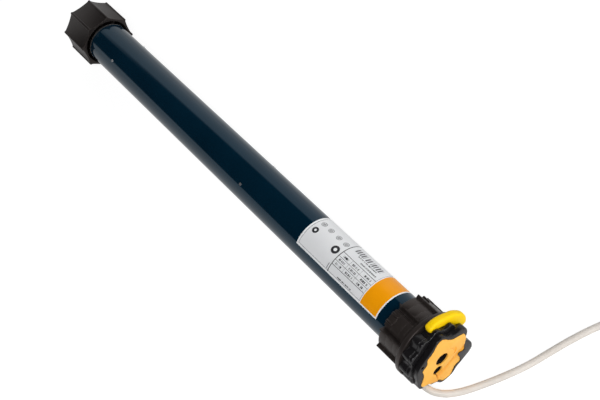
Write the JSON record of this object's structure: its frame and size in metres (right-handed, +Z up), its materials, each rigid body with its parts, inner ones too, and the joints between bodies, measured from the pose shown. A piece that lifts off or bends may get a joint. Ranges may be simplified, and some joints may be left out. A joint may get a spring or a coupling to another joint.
{
  "type": "tubular roller blind motor",
  "caption": "Tubular motor for a roller blind: painted steel tube with a lobed head and crown, geared output with an eight-sided drive wheel, and a free supply cord.",
  "frame": {"origin": "centre of the head's outer face, on the motor's axis", "axes": "+X out of the head along the motor's axis, +Z up as the motor lies on a floor, +Y to the right looking at the head"},
  "size_m": [0.7619, 0.2484, 0.0688],
  "materials": {
    "petrol_paint": "gloss petrol blue paint on steel",
    "black_plastic": "satin black moulded nylon",
    "face_yellow": "warm yellow moulded plastic",
    "cap_yellow": "bright yellow glossy plastic",
    "button_plastic": "white button plastic",
    "cord_white": "warm white flexible PVC",
    "copper_cores": "insulated conductors",
    "label_foil": "printed silver polyester foil",
    "bright_steel": "machined steel",
    "spring_steel": "spring steel",
    "sintered_bronze": "oiled sintered bronze",
    "gear_steel": "sintered gear steel",
    "lamination": "stacked electrical sheet",
    "winding_copper": "varnished copper wire",
    "zamak": "die cast metal",
    "counter_plastic": "natural acetal",
    "switch_black": "switch case plastic",
    "capacitor_case": "capacitor case",
    "board_green": "terminal board",
    "brake_lining": "friction lining",
    "foam_grey": "elastic collar"
  },
  "bodies": {
    "housing": {"brake_lining": "brake_lining", "brake_spring": "spring_steel", "button_spring_down": "spring_steel", "button_spring_up": "spring_steel", "capacitor": "capacitor_case", "capacitor_collars": "foam_grey", "cord_coil": "cord_white", "cord_cores": "copper_cores", "cord_gland": "black_plastic", "cord_lead": "cord_white", "face_plate": "face_yellow", "front_shield": "zamak", "gearbox_plate": "zamak", "head_body": "black_plastic", "limit_axle": "bright_steel", "limit_chassis": "counter_plastic", "microswitches": "switch_black", "output_bushes": "sintered_bronze", "output_flange": "zamak", "rating_label": "label_foil", "rear_shield": "zamak", "ring_gear": "gear_steel", "rotor_bushes": "sintered_bronze", "stator_core": "lamination", "stator_windings": "winding_copper", "terminal_board": "board_green", "tube": "petrol_paint", "tube_rivets": "bright_steel"},
    "crown": {"crown": "black_plastic"},
    "limit_pinion": {"limit_pinion": "counter_plastic"},
    "counter_wheel_1": {"counter_wheel_1": "counter_plastic"},
    "counter_wheel_2": {"counter_wheel_2": "counter_plastic"},
    "limit_cam_up": {"limit_cam_up": "counter_plastic"},
    "limit_cam_down": {"limit_cam_down": "counter_plastic"},
    "limit_button_up": {"limit_button_up": "button_plastic"},
    "limit_button_down": {"limit_button_down": "button_plastic"},
    "limit_cap": {"limit_cap": "cap_yellow"},
    "rotor": {"rotor_core": "lamination", "rotor_shaft": "bright_steel", "sun_gear_1": "gear_steel", "brake_disc": "zamak"},
    "brake_armature": {"brake_armature": "bright_steel"},
    "carrier_1": {"carrier_1": "gear_steel", "planet_pins_1": "bright_steel"},
    "carrier_2": {"carrier_2": "gear_steel", "planet_pins_2": "bright_steel"},
    "output": {"carrier_3": "gear_steel", "planet_pins_3": "bright_steel", "output_shaft": "bright_steel", "drive_wheel": "black_plastic", "wheel_circlip": "spring_steel"},
    "planet_1_1": {"planet_1_1": "gear_steel"},
    "planet_1_2": {"planet_1_2": "gear_steel"},
    "planet_1_3": {"planet_1_3": "gear_steel"},
    "planet_2_1": {"planet_2_1": "gear_steel"},
    "planet_2_2": {"planet_2_2": "gear_steel"},
    "planet_2_3": {"planet_2_3": "gear_steel"},
    "planet_3_1": {"planet_3_1": "gear_steel"},
    "planet_3_2": {"planet_3_2": "gear_steel"},
    "planet_3_3": {"planet_3_3": "gear_steel"}
  },
  "joints": [
    {"name": "crown_turn", "type": "hinge", "parent": "housing", "child": "crown", "pos_m": [-0.035, 0, 0], "axis": [1, 0, 0], "continuous": true},
    {"name": "pinion_spin", "type": "hinge", "parent": "housing", "child": "limit_pinion", "pos_m": [-0.027, -0.0041, -0.01128], "axis": [1, 0, 0], "continuous": true},
    {"name": "counter_1_spin", "type": "hinge", "parent": "housing", "child": "counter_wheel_1", "pos_m": [-0.08, -0.00086, -0.00235], "axis": [1, 0, 0], "continuous": true},
    {"name": "counter_2_spin", "type": "hinge", "parent": "housing", "child": "counter_wheel_2", "pos_m": [-0.088, -0.0041, -0.01128], "axis": [1, 0, 0], "continuous": true},
    {"name": "cam_up_turn", "type": "hinge", "parent": "housing", "child": "limit_cam_up", "pos_m": [-0.086, -0.00086, -0.00235], "axis": [1, 0, 0], "continuous": true},
    {"name": "cam_down_turn", "type": "hinge", "parent": "housing", "child": "limit_cam_down", "pos_m": [-0.091, -0.00086, -0.00235], "axis": [1, 0, 0], "continuous": true},
    {"name": "button_up_press", "type": "slide", "parent": "housing", "child": "limit_button_up", "axis": [0, 0, -1], "range_m": [0, 0.0015], "stiffness_N_per_m": 600, "springref_m": -0.001, "deforming": ["button_spring_up"]},
    {"name": "button_down_press", "type": "slide", "parent": "housing", "child": "limit_button_down", "axis": [0, 0, -1], "range_m": [0, 0.0015], "stiffness_N_per_m": 600, "springref_m": -0.001, "deforming": ["button_spring_down"]},
    {"name": "cap_pull_off", "type": "slide", "parent": "housing", "child": "limit_cap", "axis": [0, 0, 1], "range_m": [0, 0.016]},
    {"name": "rotor_spin", "type": "hinge", "parent": "housing", "child": "rotor", "pos_m": [-0.255, 0, 0], "axis": [1, 0, 0], "continuous": true},
    {"name": "brake_release", "type": "slide", "parent": "housing", "child": "brake_armature", "axis": [1, 0, 0], "range_m": [0, 0.0006], "stiffness_N_per_m": 3000, "springref_m": -0.002, "deforming": ["brake_spring"]},
    {"name": "carrier_1_turn", "type": "hinge", "parent": "housing", "child": "carrier_1", "pos_m": [-0.379, 0, 0], "axis": [1, 0, 0], "continuous": true},
    {"name": "carrier_2_turn", "type": "hinge", "parent": "housing", "child": "carrier_2", "pos_m": [-0.408, 0, 0], "axis": [1, 0, 0], "continuous": true},
    {"name": "output_turn", "type": "hinge", "parent": "housing", "child": "output", "pos_m": [-0.444, 0, 0], "axis": [1, 0, 0], "continuous": true},
    {"name": "planet_1_1_spin", "type": "hinge", "parent": "carrier_1", "child": "planet_1_1", "pos_m": [-0.368, 0.0108, 0], "axis": [1, 0, 0], "continuous": true},
    {"name": "planet_1_2_spin", "type": "hinge", "parent": "carrier_1", "child": "planet_1_2", "pos_m": [-0.368, -0.0054, 0.00935], "axis": [1, 0, 0], "continuous": true},
    {"name": "planet_1_3_spin", "type": "hinge", "parent": "carrier_1", "child": "planet_1_3", "pos_m": [-0.368, -0.0054, -0.00935], "axis": [1, 0, 0], "continuous": true},
    {"name": "planet_2_1_spin", "type": "hinge", "parent": "carrier_2", "child": "planet_2_1", "pos_m": [-0.396, 0.0108, 0], "axis": [1, 0, 0], "continuous": true},
    {"name": "planet_2_2_spin", "type": "hinge", "parent": "carrier_2", "child": "planet_2_2", "pos_m": [-0.396, -0.0054, 0.00935], "axis": [1, 0, 0], "continuous": true},
    {"name": "planet_2_3_spin", "type": "hinge", "parent": "carrier_2", "child": "planet_2_3", "pos_m": [-0.396, -0.0054, -0.00935], "axis": [1, 0, 0], "continuous": true},
    {"name": "planet_3_1_spin", "type": "hinge", "parent": "output", "child": "planet_3_1", "pos_m": [-0.428, 0.0108, 0], "axis": [1, 0, 0], "continuous": true},
    {"name": "planet_3_2_spin", "type": "hinge", "parent": "output", "child": "planet_3_2", "pos_m": [-0.428, -0.0054, 0.00935], "axis": [1, 0, 0], "continuous": true},
    {"name": "planet_3_3_spin", "type": "hinge", "parent": "output", "child": "planet_3_3", "pos_m": [-0.428, -0.0054, -0.00935], "axis": [1, 0, 0], "continuous": true}
  ],
  "couplings": [
    {"joint": "pinion_spin", "follows": "crown_turn", "ratio": 2},
    {"joint": "counter_1_spin", "follows": "crown_turn", "ratio": -0.53333},
    {"joint": "counter_2_spin", "follows": "crown_turn", "ratio": 0.14222},
    {"joint": "cam_up_turn", "follows": "crown_turn", "ratio": -0.037926},
    {"joint": "cam_down_turn", "follows": "crown_turn", "ratio": -0.037926},
    {"joint": "carrier_1_turn", "follows": "rotor_spin", "ratio": 0.1875},
    {"joint": "carrier_2_turn", "follows": "rotor_spin", "ratio": 0.035156},
    {"joint": "output_turn", "follows": "rotor_spin", "ratio": 0.0065918},
    {"joint": "planet_1_1_spin", "follows": "rotor_spin", "ratio": -0.4875},
    {"joint": "planet_1_2_spin", "follows": "rotor_spin", "ratio": -0.4875},
    {"joint": "planet_1_3_spin", "follows": "rotor_spin", "ratio": -0.4875},
    {"joint": "planet_2_1_spin", "follows": "rotor_spin", "ratio": -0.091406},
    {"joint": "planet_2_2_spin", "follows": "rotor_spin", "ratio": -0.091406},
    {"joint": "planet_2_3_spin", "follows": "rotor_spin", "ratio": -0.091406},
    {"joint": "planet_3_1_spin", "follows": "rotor_spin", "ratio": -0.017139},
    {"joint": "planet_3_2_spin", "follows": "rotor_spin", "ratio": -0.017139},
    {"joint": "planet_3_3_spin", "follows": "rotor_spin", "ratio": -0.017139}
  ]
}
